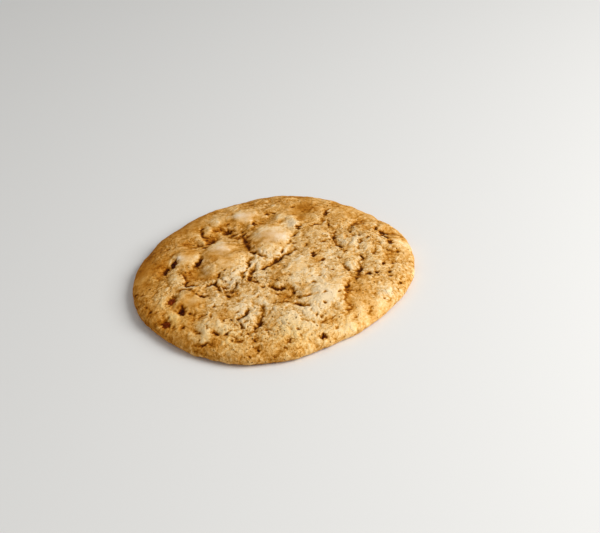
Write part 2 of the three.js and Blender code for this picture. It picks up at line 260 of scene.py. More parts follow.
# Cracks: width, depth, and the places that each one runs through.
crustCracks = (
    (2.4, 1.0, ((-15, 22.5), (-13, 20.9), (-10.5, 20.7), (-9, 21.5))),
    (3.8, 1.6, ((-9.4, 22.5), (-9.8, 20), (-10, 17.5), (-9, 14.5))),
    (1.8, 0.8, ((-9, 14.5), (-8.4, 12), (-7.6, 9))),
    (1.1, 0.8, ((-6.4, 6.4), (-5, 4.8), (-3.6, 3), (-1.5, 1.6), (0.5, 0.6))),
    (1.4, 0.6, ((-4.5, 26), (-7.5, 23.5), (-9, 21.5))),
    (1.5, 1.2, ((-27.3, 31), (-26.8, 27.5), (-26.2, 25.2), (-24.7, 23))),
    (1.0, 0.5, ((-23.4, 35.5), (-22.8, 33), (-22, 31.2))),
    (1.5, 0.5, ((-21.3, 28), (-19, 28.2), (-17.8, 28.6))),
    (2.2, 1.4, ((-28.6, 17.2), (-26.6, 16.5), (-25, 17.3), (-23.5, 18.4), (-22.4, 19))),
    (1.6, 1.3, ((-42.2, 4.8), (-43, 2.6), (-43.3, 0.8))),
    (1.0, 0.7, ((-46, -1), (-44.7, -2.4))),
    (1.0, 1.0, ((-7.4, 2.4), (-7.7, 0.8), (-8.7, -1), (-8.9, -3), (-9.4, -5.6))),
    (1.0, 1.1, ((-10, -7.2), (-11, -8.2), (-11.7, -10), (-12, -12))),
    (1.8, 0.75, ((-7, -4.4), (-7.4, -8.2), (-8.8, -11), (-8.9, -14.4))),
    (1.2, 0.8, ((12.8, 16.4), (11.8, 15), (10.4, 14.2))),
    (1.0, 0.8, ((10.1, 11.6), (10, 10))),
    (1.4, 0.8, ((10.8, 5.6), (11, 4), (11.8, 2), (12.3, 0.6))),
    (1.2, 0.5, ((15.4, 5.8), (16.4, 7.2), (17.6, 8.4))),
    (1.0, 1.0, ((6.3, 6.6), (5.6, 4.6), (5.2, 3))),
    (2.4, 1.2, ((9.4, 3), (8.2, 1.9), (6.8, 1), (5.4, -0.4))),
    (3.0, 1.3, ((5.4, -0.6), (4, -1.7), (2.5, -2.6), (1, -4))),
    (1.5, 1.0, ((1, -4), (0, -5.4), (-2, -6.4), (-3.4, -6.9))),
    (1.4, 0.7, ((27.9, 35), (27.1, 32.4), (26.6, 30.8))),
    (1.2, 0.8, ((26.1, 28), (25, 25.4), (24, 23), (23.4, 21.4), (21.5, 21.8), (18.8, 20.6))),
    (1.0, 0.7, ((26.3, 24), (26.6, 21.4), (27.2, 19), (28.2, 16.2))),
    (1.7, 1.0, ((28.1, 13.8), (27.6, 11), (27, 9), (26.6, 7.2))),
    (2.0, 1.0, ((26.6, 7), (27, 5.4), (27.9, 3.8), (28.7, 2.2), (29.8, 0.6))),
    (1.2, 0.7, ((29.6, 0), (30, -1.8), (30.8, -3.8))),
    (1.4, 0.5, ((26.4, 7.6), (23.4, 7.2), (20.8, 6.2))),
    (1.8, 0.8, ((41.6, 24), (40.2, 21.8), (38.6, 20.6), (37, 19), (35.4, 17), (34.7, 15), (34.9, 12.2))),
    (1.2, 1.0, ((45.8, 15), (45.7, 12.4))),
    (1.8, 1.2, ((46.6, 11.6), (48, 10.6), (50.2, 10.2), (53, 10.6))),
    (1.8, 1.2, ((48, 10), (48.2, 7.6), (49, 5), (49.8, 2.2))),
    (1.1, 1.0, ((38.1, 5.2), (37.4, 2.4))),
    (1.0, 0.6, ((37, 1), (36.5, -1.4))),
    (1.6, 0.9, ((51.4, -0.8), (51.8, -4.2), (48.6, -4))),
    (1.6, 0.5, ((-36, -0.8), (-35.3, -3.4), (-34.6, -7))),
    (1.2, 1.1, ((-34.6, -7), (-34.5, -10.6))),
    (1.1, 0.9, ((-34.4, -10.8), (-32.6, -11.5), (-30, -13.2))),
    (1.2, 0.7, ((-39.2, -15), (-38, -13.3), (-36, -12.2), (-33.6, -13.4), (-31.4, -15))),
    (1.2, 1.0, ((-20.5, -5.7), (-21.6, -7.7))),
    (1.7, 1.3, ((-26, -13.8), (-24.8, -13.4), (-23.3, -13.3), (-22.7, -15.2), (-21, -17.6))),
    (1.1, 1.2, ((-31.2, -17.2), (-29.6, -18.3), (-27.2, -19.8), (-26.2, -19), (-24, -20))),
    (1.4, 1.3, ((-19.6, -16.4), (-19.2, -18), (-18.7, -19.4))),
    (1.9, 1.1, ((-19.2, -21.4), (-18.2, -23), (-17, -23.6))),
    (1.1, 1.1, ((-14.6, -14.3), (-15.7, -17))),
    (1.3, 1.0, ((-16.2, -17.4), (-16.6, -20.4))),
    (1.4, 0.9, ((-7.2, -15.4), (-5.6, -16.6), (-4.9, -17.4))),
    (1.0, 0.6, ((-7.5, -19.8), (-8, -23.2))),
    (1.6, 0.55, ((-14, -25), (-12.8, -27), (-11, -27.4))),
    (1.0, 0.35, ((-8.8, -27), (-8.4, -29.4), (-7, -31.4))),
    (1.3, 0.8, ((-30.2, -32), (-28.2, -31.2))),
    (1.0, 0.6, ((-25.4, -30.8), (-25.8, -33.2))),
    (1.5, 1.4, ((-10.9, -32.4), (-12, -34), (-12.4, -35.5), (-13.4, -36.2), (-13.2, -38))),
    (1.5, 1.3, ((-13.4, -36.6), (-14.7, -37.4), (-14.9, -39))),
    (0.9, 0.7, ((-14.9, -39.2), (-14.4, -41.2), (-12.8, -43.6))),
    (0.9, 0.8, ((-17.9, -38.6), (-17, -39.8), (-16, -40.6))),
    (1.5, 1.0, ((-5.7, -31.8), (-5.4, -35), (-6.1, -38), (-6.8, -39.6))),
    (1.9, 1.3, ((-7, -40), (-7.4, -42.4), (-9, -43.7))),
    (1.5, 1.0, ((-32.2, -39.4), (-30.3, -40))),
    (1.1, 1.0, ((-26, -41.4), (-24.5, -43), (-23.4, -44.4), (-21, -45.1), (-19.6, -44.8))),
    (1.3, 1.0, ((-17.2, -46.8), (-16.6, -49), (-15.8, -49.6), (-14.8, -48.8))),
    (1.2, 0.5, ((-10.6, -44.8), (-7, -45.4), (-3, -46))),
    (1.0, 0.9, ((-10.2, -49.4), (-9.7, -51.4))),
    (0.9, 0.7, ((-9.8, -53.4), (-8.7, -55.4))),
    (1.2, 0.7, ((-33.4, -44.8), (-30, -46.4), (-27, -46.4), (-24.6, -45.8))),
    (1.4, 0.7, ((28.7, -11), (29, -13.6), (30.5, -15.6))),
    (2.0, 1.5, ((34.2, -19.6), (34.7, -17), (35.2, -14), (35.2, -12))),
    (1.4, 1.0, ((36.4, -6), (37, -8), (36.7, -9.8))),
    (1.5, 0.6, ((31.4, -17.6), (30.5, -19.4), (32.6, -20.6), (34.4, -20.2))),
    (1.3, 1.0, ((41.7, -5.7), (43.2, -3.8))),
    (1.3, 0.9, ((28.4, -24), (28.5, -26), (27.8, -28.2), (27.1, -30.6))),
    (1.4, 0.3, ((27, -31), (26, -33.6), (26.8, -36.6), (28, -38.8), (25.6, -42))),
    (1.3, 0.9, ((25.4, -42), (22, -42.8), (20.2, -43.7), (18.4, -44.3), (16.8, -45.2))),
    (1.8, 1.4, ((-0.4, -20.6), (1.3, -22.3), (2.7, -23.1), (3.7, -22.1), (4.8, -22.2))),
    (1.8, 0.8, ((6.4, -22), (7.1, -24), (7, -26.6), (5.4, -28.2))),
    (1.4, 0.9, ((8, -28.8), (9.5, -29.8), (11.6, -28.8), (14.4, -28))),
    (1.1, 0.4, ((14.4, -28), (17.4, -27.4))),
    (1.2, 0.5, ((-0.4, -30.8), (3, -31), (5.4, -31.1))),
    (1.4, 1.3, ((7.4, -32.9), (9, -34), (10.6, -34.8), (12.4, -35.9))),
    (1.0, 0.6, ((12.6, -36.2), (13.5, -38.6))),
    (0.9, 0.5, ((7.2, -37), (8, -39.6), (8.8, -41.8))),
    (0.9, 0.7, ((8.8, -42.8), (10.2, -42.7), (11.6, -43.7), (13.4, -44.6))),
    (1.5, 0.5, ((21.7, -35.8), (22.4, -38.8))),
    (1.0, 0.6, ((2.8, -51.8), (2.9, -54.6))),
    (1.0, 0.5, ((34.4, -42), (35.1, -40.4), (36.2, -38.4))),
    (0.9, 0.5, ((48.6, -26.8), (47.4, -29.4))),
    (1.4, 0.5, ((38.2, -31.6), (38.8, -29.8), (40.4, -28.6))),
)

# Pits: x, y, radius, depth.
crustPits = (
    (-16, 24.5, 2.0, 1.6), (-4.5, 28.2, 1.0, 1.2), (-4.4, 26.8, 0.9, 1.0), (-6, 5.9, 1.1, 1.3),
    (14.1, 21, 1.2, 1.2), (13.8, 19.2, 1.1, 1.1), (18, -1.6, 1.2, 1.2), (18.3, -3, 1.1, 1.2),
    (26.6, 30.4, 0.9, 1.1), (26.3, 29, 0.9, 1.1), (1.5, 35.6, 1.0, 0.5), (4.3, 36.2, 1.0, 0.6),
    (12.8, 39.6, 0.9, 0.5), (-15.4, 31.6, 0.8, 0.5), (8.7, 8.8, 0.6, 0.6), (11.4, 8.6, 0.6, 0.6),
    (3.5, 2.2, 0.7, 0.6), (37.5, 19.6, 0.9, 0.8), (34.8, 12.6, 0.9, 0.8), (47.6, 10.8, 1.3, 1.2),
    (49.8, 2.3, 1.4, 1.1), (37.9, 8.4, 0.7, 0.6), (41, 6.4, 0.7, 0.6), (21.3, -6.8, 0.8, 0.9),
    (27.8, -6.6, 0.9, 0.5), (15.5, -9.8, 0.9, 0.4), (24, -14.3, 0.7, 0.8), (6.8, -14.2, 0.6, 0.5),
    (18.8, -17, 0.7, 0.5), (15.8, -21.3, 0.8, 0.9), (19.3, -28.5, 0.7, 0.9), (25, -29.2, 0.7, 0.8),
    (18.6, -34.5, 0.7, 1.0), (3.6, -44.4, 0.6, 0.9), (0.3, -46.4, 0.5, 0.5), (7, -47.6, 0.7, 0.9),
    (21.7, -48, 0.6, 0.7), (26.8, -40, 0.9, 0.8), (29, -43.2, 0.5, 0.4), (42, -33.2, 0.6, 0.6),
    (49.8, -24.3, 0.6, 0.7), (48.9, -12.6, 0.6, 0.9), (44.6, -13.3, 1.0, 0.9), (38.1, -19, 1.1, 1.0),
    (41.5, -18.8, 1.0, 1.1), (46, -18.4, 0.8, 0.8), (46.4, -20.6, 0.8, 0.7), (35, -15.4, 1.2, 0.8),
    (14.2, -41.2, 0.6, 0.8), (16.5, -42.5, 0.6, 0.6), (-3, -7, 0.8, 0.9), (-8.8, -13.6, 1.0, 0.8),
    (-4, -19.6, 0.7, 0.8), (-6.4, -25.2, 0.7, 0.6), (-18.7, -3.6, 0.7, 0.6), (-15, -6.2, 0.5, 0.6),
    (-15.5, -11, 0.6, 0.6), (-18.7, -11.8, 0.6, 0.5), (-26.2, -13.4, 0.6, 0.9), (-24, -26.3, 0.7, 0.5),
    (-33.8, -27.8, 0.8, 0.7), (-18, -37.2, 0.6, 0.8), (-15.2, -32.4, 0.6, 0.7),
    (-20.9, -36.4, 0.5, 0.7), (-20.8, -42, 0.6, 0.7), (-27.2, -38.2, 0.6, 0.8), (-7.4, -42.2, 1.1, 0.8),
    (-18.4, -48.6, 0.7, 0.8), (-12, -45.8, 0.6, 0.6), (-51, -16.6, 0.7, 0.3), (-49.6, -20.6, 0.7, 0.4),
    (-47, -22.2, 0.7, 0.3), (-52.6, -8.6, 0.7, 0.5), (-55.4, -6, 0.7, 0.4), (-37, -35, 0.9, 0.6),
    (-40.2, -33.6, 0.9, 0.5), (-12.2, -56.6, 0.6, 0.6), (1, -55.8, 0.6, 0.5),
)

# Edges of plates that stand above what lies to the right of the line: rise, reach, places.
frontPlate = ((16, -45.4), (20.2, -43.8), (25.6, -42), (28, -38.6), (26, -33.6), (27.2, -30.6), (28.6, -26))
crustSteps = (
    (0.6, 7, (*frontPlate, (28.4, -24), (31, -18))),
    (0.6, 5, ((9.6, 3.4), (5, -0.8), (1, -3.8), (-3.4, -6.8))),
    (0.5, 5, ((-30, -13.2), (-34.4, -10.8), (-35.3, -3.4), (-36, 0))),
    (0.6, 6, ((29.8, 0.4), (27, 5.4), (26.8, 9), (28.2, 14))),
)

# Places where the crust is smooth: x, y, radius, how smooth.
smoothPlaces = (
    (2, 17, 12, 0.95), (-20, 12, 11, 0.9), (-17, 0, 8, 0.5), (-35, 12, 8, 0.85), (-33, -21, 8, 0.9),
    (-28, -4, 6, 0.8), (-8, 36, 11, 0.85), (-30, 35, 14, 0.65), (14, 36, 12, 0.75), (33, 30, 12, 0.4),
    (20, -27, 9, 0.5), (11, -9, 6, 0.4), (-52, 8, 14, 0.5), (56, 3, 6, 0.35), (34, -25, 4, 0.5),
    (38, -38, 14, 0.4),
)

# Places where the crumb is coarse: x, y, radius, how coarse.
coarsePlaces = (
    (-18, -13, 8, 1.6), (4, -47, 14, 0.75), (-18, -46, 10, 0.75), (53, -12, 7, 0.5), (-6, -12, 6, 0.6),
    (-12, -37, 7, 0.7), (-26, -17, 5, 0.5), (32, -12, 6, 0.4), (47, 4, 7, 0.5), (36, 3, 12, 0.45),
    (35, 17, 8, 0.4), (42, -15, 8, 0.4), (42, -32, 7, 0.4), (-50, -12, 8, 0.3),
)

# Places that are browner than the crust round them, partly browner crust and partly painted shade in hollows,
# at the back and on slopes that face away from the window: x, y, radius, how much.
brownAndShadedPlaces = (
    (-24, -45, 5, 0.5), (-3, -44, 3, 0.7), (19, -44, 4, 0.5), (-41, -33, 11, 0.5), (-7, -39, 4, 0.3),
    (28, -38, 4.5, 0.5), (-33, -31, 4, 0.3), (-20, -32, 4, 0.5), (3.5, -29, 3.5, 0.6),
    (4, -25.5, 3.5, 0.4), (12, -26.5, 3, 0.4), (27.5, -30, 4, 0.9), (33, -31, 3, 0.4),
    (38, -27, 4, 0.4), (-37, -21, 3, 0.5), (-31, -24, 3, 0.4), (11, -21.5, 3.5, 0.6),
    (0.5, -21.5, 3.5, 0.5), (29, -21, 3, 0.4), (-48, -20, 7, 0.7), (-31, -15, 5, 0.6),
    (-22, -14.5, 4, 1.0), (-16.5, -19.5, 3.5, 1.1), (-9.5, -12, 3.5, 0.9), (-8, -8, 3, 0.4),
    (-6, -16.5, 3, 0.4), (2, -13, 5, 0.5), (35.3, -20, 3, 1.0), (41, -20, 4, 0.3), (46, -12, 4, 0.4),
    (-32.5, -7, 4.5, 1.0), (-25, -8, 5, 0.8), (0, -5, 4, 1.2), (6, -2, 3, 0.6), (18.5, -4, 4, 0.9),
    (18, -11, 3, 0.4), (31, -7, 3, 0.3), (26, -10, 3, 0.3), (31, -2, 3, 0.3), (49, -6, 4, 0.9),
    (41, 2, 4, 0.3), (41, 10, 3.5, 0.4), (-45, 4, 5, 0.7), (-44, 10, 4, 0.9), (-35, 4, 4, 0.4),
    (-34, -2, 4.5, 0.9), (-27, 3, 4.5, 0.5), (-12, 5, 4, 0.3), (-22, 6.5, 4, 0.7),
    (-32.5, 14, 4.5, 1.0), (-26, 12, 5, 0.3), (32.5, 10, 4, 0.4), (49, 5, 4, 0.5), (54, 8, 5, 0.6),
    (49, 14.5, 3, 0.5), (39.5, 14, 3.5, 0.6), (40, 20.5, 5.5, 0.8), (33, 24, 4, 0.5),
    (-46, 20, 10, 0.3), (-34, 22, 5, 0.9), (-24, 22, 5.5, 1.4), (-15, 15, 3, 0.3), (14.5, 17.5, 3, 0.3),
    (-10.5, 20, 4, 1.0), (-7.5, 14, 4.5, 1.0), (-4, 10.5, 3, 0.4), (-14, 25.5, 4.5, 0.5),
    (-21, 29, 4, 1.2), (-16, 33, 4, 1.0), (-11, 32.5, 4, 0.5), (-4, 27.5, 3.5, 0.8), (1, 31, 5, 0.3),
    (5.5, 27, 3, 0.4), (15.5, 28, 4, 0.9), (23, 35, 4, 0.7), (17, 37, 6, 0.8), (20, 42, 4, 0.4),
    (2, 39, 4.5, 0.4), (9, 33, 4, 0.3), (-7, 46, 5, 0.3), (-38, 32, 6, 0.3), (-30.5, 25.5, 3, 0.4),
    (-29, 33.5, 3.5, 0.4), (9, 48, 5, 0.3),
)

# Places that are paler, partly paler crust and partly painted light at the front and on slopes that face the
# window: x, y, radius, how much.
paleAndLitPlaces = (
    (10, -55, 9, 0.4), (-14, -53, 7, 0.3), (-20, -50, 6, 0.8), (5, -45, 10, 0.7), (14, -45.5, 6, 0.7),
    (22, -48, 6, 0.6), (28, -49, 9, 0.5), (40, -37, 9, 0.5), (46, -30, 8, 0.3), (31, -40.5, 5, 0.6),
    (20, -36, 5, 0.4), (13.5, -36.5, 5, 0.9), (6, -40, 4.5, 0.7), (-12, -41, 3, 0.3),
    (-21.5, -41, 5, 0.9), (-17, -44.5, 3, 0.4), (-29, -42, 5, 0.7), (-28, -42.4, 2.6, 0.8),
    (-40, -38, 7, 0.4), (-29, -36, 6, 0.9), (-39, -31, 6, 0.4), (-41, -27.5, 6, 1.1),
    (-27, -30, 3, 0.3), (-12.5, -34, 5.5, 0.6), (-6, -29, 5, 0.4), (8, -24.5, 2.5, 0.4),
    (16, -28.5, 5, 1.0), (21, -28.5, 9, 0.8), (-24, -25, 4, 0.4), (-12, -23, 4, 0.5),
    (-7, -20.5, 3, 0.4), (-48, -13, 4, 0.5), (-45, -18, 6, 0.9), (-39, -13, 3, 0.5), (-33, -19, 5, 0.3),
    (-16, -11, 4, 0.9), (17, -19, 6, 0.4), (13, -13, 9, 0.6), (21, -13, 4, 0.5), (29.5, -12.5, 3, 0.5),
    (36, -11, 3, 0.4), (55, -14, 7, 0.3), (-11, -6, 3, 0.4), (-5, -9.5, 4.5, 0.6), (13, -7, 4, 0.3),
    (25, -5, 4, 0.3), (-54, 4, 5, 0.5), (-13, 1, 5, 0.5), (-8, -2, 4, 0.7), (-1, 1.5, 3.5, 0.8),
    (7.5, 4.5, 3.5, 0.4), (15, -1, 4, 0.3), (26, -0.5, 4, 0.5), (36.5, -1, 4, 1.0), (56, 4, 6, 0.4),
    (-6, 7, 3, 0.3), (29, 6, 3, 0.9), (36.5, 6.5, 5, 0.7), (7, 15, 5, 0.6), (-4, 18, 3.5, 0.4),
    (-1, 23.5, 3.5, 0.6), (4, 22, 5, 0.6), (10.5, 25, 5, 1.0), (27, 14, 4, 0.4), (34, 17, 3, 0.3),
    (-38, 12.5, 4, 0.5), (-21.5, 19, 4, 0.9), (-19, 13, 7, 0.25), (9, 33, 4, 0.5), (-10, 40, 5.5, 0.7),
    (-23, 38, 4, 0.6), (-20, 43, 5, 0.3), (-13.5, 48, 5.5, 0.6), (5, 45, 4, 0.3), (-3, -50, 10, 0.2),
)

# Places of painted warm bounce light, mostly round the front and left of the rim: x, y, radius, how much.
bounceLightPlaces = (
    (-52, 0, 18, 0.8), (-40, -30, 14, 0.9), (-20, -46, 13, 0.7), (4, -50, 14, 0.8), (26, -46, 12, 0.5),
    (35, -8, 12, 0.3),
)


# Radius of the outline: mean + sum of height cos(count angle + turn).
def outlineRadius(angle):
    radius = np.full(np.shape(angle), crustShape["meanRadius"])
    for count, height, turn in crustShape["waves"]:
        radius = radius + height * np.cos(count * angle + math.radians(turn))
    return radius


# The section from the middle to the foot in even steps along its length. On the dome the share of the
# outline's radius is sqrt(sin a) and the height widest + (top - widest) cos a; round the lower edge the
# inset is footInset (1 - cos b) and the height widest (1 - sin b).
def crustSection():
    shape = crustShape
    fineSteps = 1500
    quarter = np.linspace(0, math.pi / 2, fineSteps)
    share = np.concatenate([np.sqrt(np.sin(quarter)), np.ones(len(quarter) - 1)])
    inset = np.concatenate([np.zeros(len(quarter)), shape["footInset"] * (1 - np.cos(quarter[1:]))])
    domeRise = shape["domeHeight"] - shape["widestHeight"]
    dome = shape["widestHeight"] + domeRise * np.cos(quarter)
    height = np.concatenate([dome, shape["widestHeight"] * (1 - np.sin(quarter[1:]))])
    radius = share * shape["meanRadius"] - inset
    length = np.concatenate([[0], np.cumsum(np.hypot(np.diff(radius), np.diff(height)))])
    walked = np.linspace(0, length[-1], shape["rings"] + 1)
    share, inset, height = (np.interp(walked, length, values) for values in (share, inset, height))
    radius = share * shape["meanRadius"] - inset
    slopeR = np.gradient(radius)
    slopeZ = np.gradient(height)
    steepness = np.hypot(slopeR, slopeZ)
    return share, inset, height, -slopeZ / steepness, slopeR / steepness


# Ring number and angle of every point of a disc whose ring k has 6k points evenly round it.
def ringPlaces(ringCount):
    ring = np.repeat(np.arange(1, ringCount + 1), 6 * np.arange(1, ringCount + 1))
    start = 1 + 3 * ring * (ring - 1)
    angle = 2 * math.pi * (np.arange(1, len(ring) + 1) - start) / (6 * ring)
    return np.concatenate([[0], ring]), np.concatenate([[0], angle])


# Triangles of that disc, anticlockwise from above: between rings k - 1 and k each sixth has k triangles
# that stand on the outer ring and k - 1 that hang from the inner one.
def ringTriangles(ringCount):
    triangles = []
    innerStart = 0
    for k in range(1, ringCount + 1):
        outerStart = 1 + 3 * k * (k - 1)
        innerCount = max(6 * (k - 1), 1)
        sector, i = np.divmod(np.arange(6 * k), k)
        outer = outerStart + (sector * k + i) % (6 * k)
        nextOuter = outerStart + (sector * k + i + 1) % (6 * k)
        inner = innerStart + (sector * (k - 1) + i) % innerCount
        nextInner = innerStart + (sector * (k - 1) + i + 1) % innerCount
        triangles.append(np.stack([outer, nextOuter, inner], axis=1))
        between = i < k - 1
        triangles.append(np.stack([inner, nextOuter, nextInner], axis=1)[between])
        innerStart = outerStart
    return np.concatenate(triangles)


# Distance from each place to a line of straight stretches, which side it is on (+1 left of the line), and
# how far along the line the nearest place is, from 0 to 1.
def lineDistance(x, y, line):
    corners = np.array(line, dtype=float)
    stretches = np.linalg.norm(np.diff(corners, axis=0), axis=1)
    passed = np.concatenate([[0], np.cumsum(stretches)])
    distance = np.full(len(x), math.inf)
    side = np.ones(len(x))
    along = np.zeros(len(x))
    for index, (start, end) in enumerate(zip(corners[:-1], corners[1:])):
        way = (end - start) / stretches[index]
        offX = x - start[0]
        offY = y - start[1]
        part = np.clip(offX * way[0] + offY * way[1], 0, stretches[index])
        apart = np.hypot(offX - part * way[0], offY - part * way[1])
        closer = apart < distance
        distance = np.where(closer, apart, distance)
        side = np.where(closer, np.sign(way[0] * offY - way[1] * offX), side)
        along = np.where(closer, (passed[index] + part) / passed[-1], along)
    return distance, side, along


# Depth of the cracks: depth exp(-(distance / half width)^2), shallower and narrower towards the ends of each
# line. The valley and the painted shade in and round a crack are bells that reach some mm + a share of its
# width.
def crackRelief(x, y):
    shape = crustShape
    valleyStart, valleyShare = shape["valleyReach"]
    shadeStart, shadeShare = shape["crackShade"]["reach"]
    depth = np.zeros(len(x))
    valley = np.zeros(len(x))
    recessShade = np.zeros(len(x))
    for width, deep, line in crustCracks:
        distance, _, along = lineDistance(x, y - shape["depthLean"] * deep, line)
        full = np.sqrt(np.sin(math.pi * np.clip(along, 0, 1)))
        taper = shape["crackEnds"] + (1 - shape["crackEnds"]) * full
        half = shape["crackWidth"] * width * (1 - shape["crackNarrowing"] + shape["crackNarrowing"] * taper)
        depth = np.maximum(depth, shape["crackDepth"] * deep * taper * np.exp(-((distance / half) ** 2)))
        valleyBell = bell(distance, valleyStart + valleyShare * width)
        valley = np.maximum(valley, shape["valleyDepth"] * deep * valleyBell)
        strength = min(shape["crackShade"]["strength"] * deep, 1)
        recessShade = np.maximum(recessShade, strength * taper * bell(distance, shadeStart + shadeShare * width))
    return depth, valley, recessShade


# Depth of the pits: depth exp(-(distance / radius)^power), and the painted shade in and round them, a bell
# that reaches some mm + a share of the radius.
def pitRelief(x, y):
    shape = crustShape
    shadeStart, shadeShare = shape["pitShade"]
    depth = np.zeros(len(x))
    recessShade = np.zeros(len(x))
    for pitX, pitY, radius, deep in crustPits:
        distance = np.hypot(x - pitX, y - pitY - shape["depthLean"] * deep)
        hollow = np.exp(-((distance / radius) ** shape["pitPower"]))
        depth = np.maximum(depth, shape["pitDepth"] * deep * hollow)
        recessShade = np.maximum(recessShade, min(deep, 1) * bell(distance, shadeStart + shadeShare * radius))
    return depth, recessShade


# Height of the plates: rise exp(-distance / reach) on the left of each line, 0 on its right, and less at
# its ends.
def stepRelief(x, y):
    height = np.zeros(len(x))
    ends = crustShape["stepEnds"]
    half = crustShape["stepWidth"] / 2
    for rise, reach, line in crustSteps:
        distance, side, along = lineDistance(x, y, line)
        taper = smoothStep(0, ends, along) * smoothStep(0, ends, 1 - along)
        height += rise * taper * smoothStep(-half, half, side * distance) * np.exp(-distance / reach)
    return height


# Sum of strength bell(distance, radius) over a list of places.
def sumOfBells(x, y, places):
    total = np.zeros(len(x))
    for placeX, placeY, radius, strength in places:
        total += strength * bell(np.hypot(x - placeX, y - placeY), radius)
    return total


# Height of the lumps: sum of rise exp(-(distance / width)^power), round on top with steeper flanks than a
# bell. A dome is rise (1 - distance^2), where 1 is the distance of its foot.
def lumpRelief(x, y):
    height = np.zeros(len(x))
    for lumpX, lumpY, radius, rise in crustLumps:
        width = crustShape["lumpWidth"] * radius
        distance = np.hypot(x - lumpX, y - lumpY)
        height += rise * np.exp(-((distance / width) ** crustShape["lumpPower"]))
    for domeX, domeY, halfWidth, halfDepth, rise in crustDomes:
        distance = np.hypot((x - domeX) / halfWidth, (y - domeY) / halfDepth)
        height += rise * np.clip(1 - distance**2, 0, 1)
    return height


raisinLooks = {
    "raisin_1": {"opening": (5.2, 2.6), "turn": 82, "tone": 0.1, "sunk": 0.7},
    "raisin_2": {"opening": (4.4, 3.4), "turn": -60, "tone": 0.0, "sunk": 0.7},
    "raisin_3": {"opening": (6.2, 4.4), "turn": -75, "tone": 0.6, "sunk": 0.5},
    "raisin_4": {"opening": (5.4, 3.8), "turn": 75, "tone": 0.8, "sunk": 0.5},
    "raisin_5": {"opening": (5.6, 2.2), "turn": 60, "tone": 0.2, "sunk": 0.7},
    "raisin_6": {"opening": (2.6, 2.2), "turn": 30, "tone": 0.1, "sunk": 0.6},
}
raisinShape = {
    "openingDepth": 1.6,  # mm, of the crust's hole over the raisin
    "openingShade": 1.5,  # reach of the painted shade round it, as a share of the hole
    "overhead": 1.5,  # mm, radius of the crust above a raisin that its top is measured from
    "folds": 9,  # round the raisin
    "foldDepth": 0.16,  # share of its thickness
    "foldSway": (0.9, 2.2),  # size, in half axes, and strength of the bends in the folds
    "foldTwist": 1.2,
    "dimples": (0.35, 0.05),  # size and depth, in half axes
    "shrunk": 0.92,  # of the frame's size
    "rows": 40,
    "columns": 72,
    "firstSeed": 200,
}


# The middle of a raisin's solid and its three half axes, longest first, from its corners' spread.
def raisinAxes(name):
    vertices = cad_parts[name].data.vertices
    places = np.zeros(3 * len(vertices))
    vertices.foreach_get("co", places)
    places = places.reshape(-1, 3) / metresPerMm
    middle = (places.max(axis=0) + places.min(axis=0)) / 2
    directions = np.linalg.svd(places - places.mean(axis=0), full_matrices=False)[2]
    reach = np.abs((places - middle) @ directions.T).max(axis=0)
    if directions[2, 2] < 0:
        directions[2] *= -1
    directions[1] = np.cross(directions[2], directions[0])
    return middle, directions, reach


# Depth of the openings over the raisins: depth exp(-distance^2), where 1 is the distance of an oval turned
# by the opening's angle, and the painted shade in and round each.
def openingRelief(x, y):
    depth = np.zeros(len(x))
    recessShade = np.zeros(len(x))
    for name, look in raisinLooks.items():
        middle, _, _ = raisinAxes(name)
        turn = math.radians(look["turn"])
        along = (x - middle[0]) * math.cos(turn) + (y - middle[1]) * math.sin(turn)
        across = (y - middle[1]) * math.cos(turn) - (x - middle[0]) * math.sin(turn)
        distance = np.hypot(2 * along / look["opening"][0], 2 * across / look["opening"][1])
        depth = np.maximum(depth, raisinShape["openingDepth"] * np.exp(-(distance**2)))
        recessShade = np.maximum(recessShade, bell(distance, raisinShape["openingShade"]))
    return depth, recessShade


# Uneven relief of the plain crust in millimetres: soft noise in several sizes, plates of skin that each
# have their own height with gaps between them, and round grains 1 - distance^2. Where the crust isn't
# crumbly, only the broad swells are left.
def roughRelief(points, crumbly, coarse):
    shape, seeds = crustShape, crustShape["seeds"]
    bent = points
    for index, (size, strength) in enumerate(shape["bends"]):
        way = np.stack([softNoise(points, size, seed + index) for seed in seeds["bends"]], axis=1)
        bent = bent + crumbly[:, None] * strength * way
    relief = np.zeros(len(points))
    for index, (size, height) in enumerate(shape["swells"]):
        left = shape["smoothSwells"] * size
        calm = left + (1 - left) * crumbly + coarse
        relief += height * calm * softNoise(bent, size, seeds["swells"] + seedStep * index)
    flakes, patches, grains = shape["flakes"], shape["flakePatches"], shape["grains"]
    nearest, second, number = cellNoise(bent, flakes["size"], seeds["flakes"])
    patchNoise = softNoise(points, patches["size"], seeds["patches"])
    patchy = smoothStep(patches["from"], patches["to"], patchNoise)
    plates = number - middleLevel + flakes["gap"] * smoothStep(0, flakes["gapWidth"], second - nearest)
    relief += flakes["height"] * crumbly * patchy * plates
    nearest, _, number = cellNoise(bent, grains["size"], seeds["grains"])
    strength = grains["height"] * (crumbly + grains["coarse"] * coarse)
    return relief + strength * (grains["least"] + number) * (1 - nearest**2)


# 1 on the side that lies at the given turn in degrees, less all round: mean + (1 - mean) cos(angle - turn).
def sidedness(x, y, turn, mean):
    return mean + (1 - mean) * np.cos(np.arctan2(y, x) - math.radians(turn))


# How crumbly each place is, up to 1: less at the smooth places and towards the edge, most of all at the back.
def crumbliness(x, y, share):
    values = crustShape["crumbly"]
    back = sidedness(x, y, values["backTurn"], middleLevel)
    rim = 1 - (values["rimLoss"] + values["backLoss"] * back) * smoothStep(*values["rim"], share)
    return np.clip(rim - sumOfBells(x, y, smoothPlaces), values["least"], 1)
